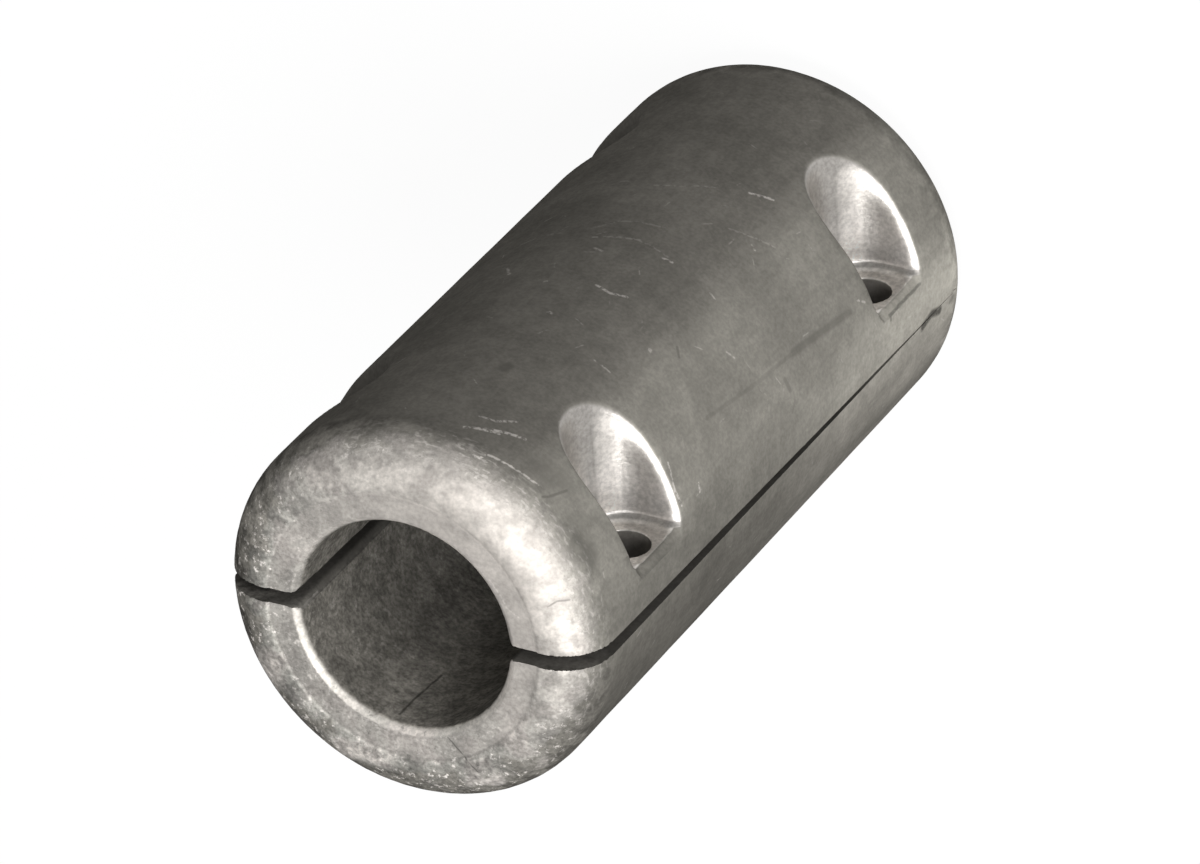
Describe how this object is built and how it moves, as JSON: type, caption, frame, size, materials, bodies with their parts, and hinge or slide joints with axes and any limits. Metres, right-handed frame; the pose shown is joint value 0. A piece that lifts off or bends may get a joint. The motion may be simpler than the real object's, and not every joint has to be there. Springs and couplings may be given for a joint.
{
  "type": "split shaft anode",
  "caption": "Sacrificial zinc anode in two half shells that clamp round a propeller shaft, with side pockets for the clamping screws and open threaded holes.",
  "frame": {"origin": "on the shaft's axis, in the plane of the end that the anode stands on", "axes": "+Z along the shaft from the end where the halves touch to the end where they gape, -Y towards the half with the screw pockets, +X across the joint"},
  "size_m": [0.072, 0.072, 0.158],
  "materials": {
    "cast_zinc": "as-cast zinc, dull warm grey, rough and pitted at the end roundings"
  },
  "bodies": {
    "root": {"pocketed_half": "cast_zinc", "tapped_half": "cast_zinc"}
  },
  "joints": []
}
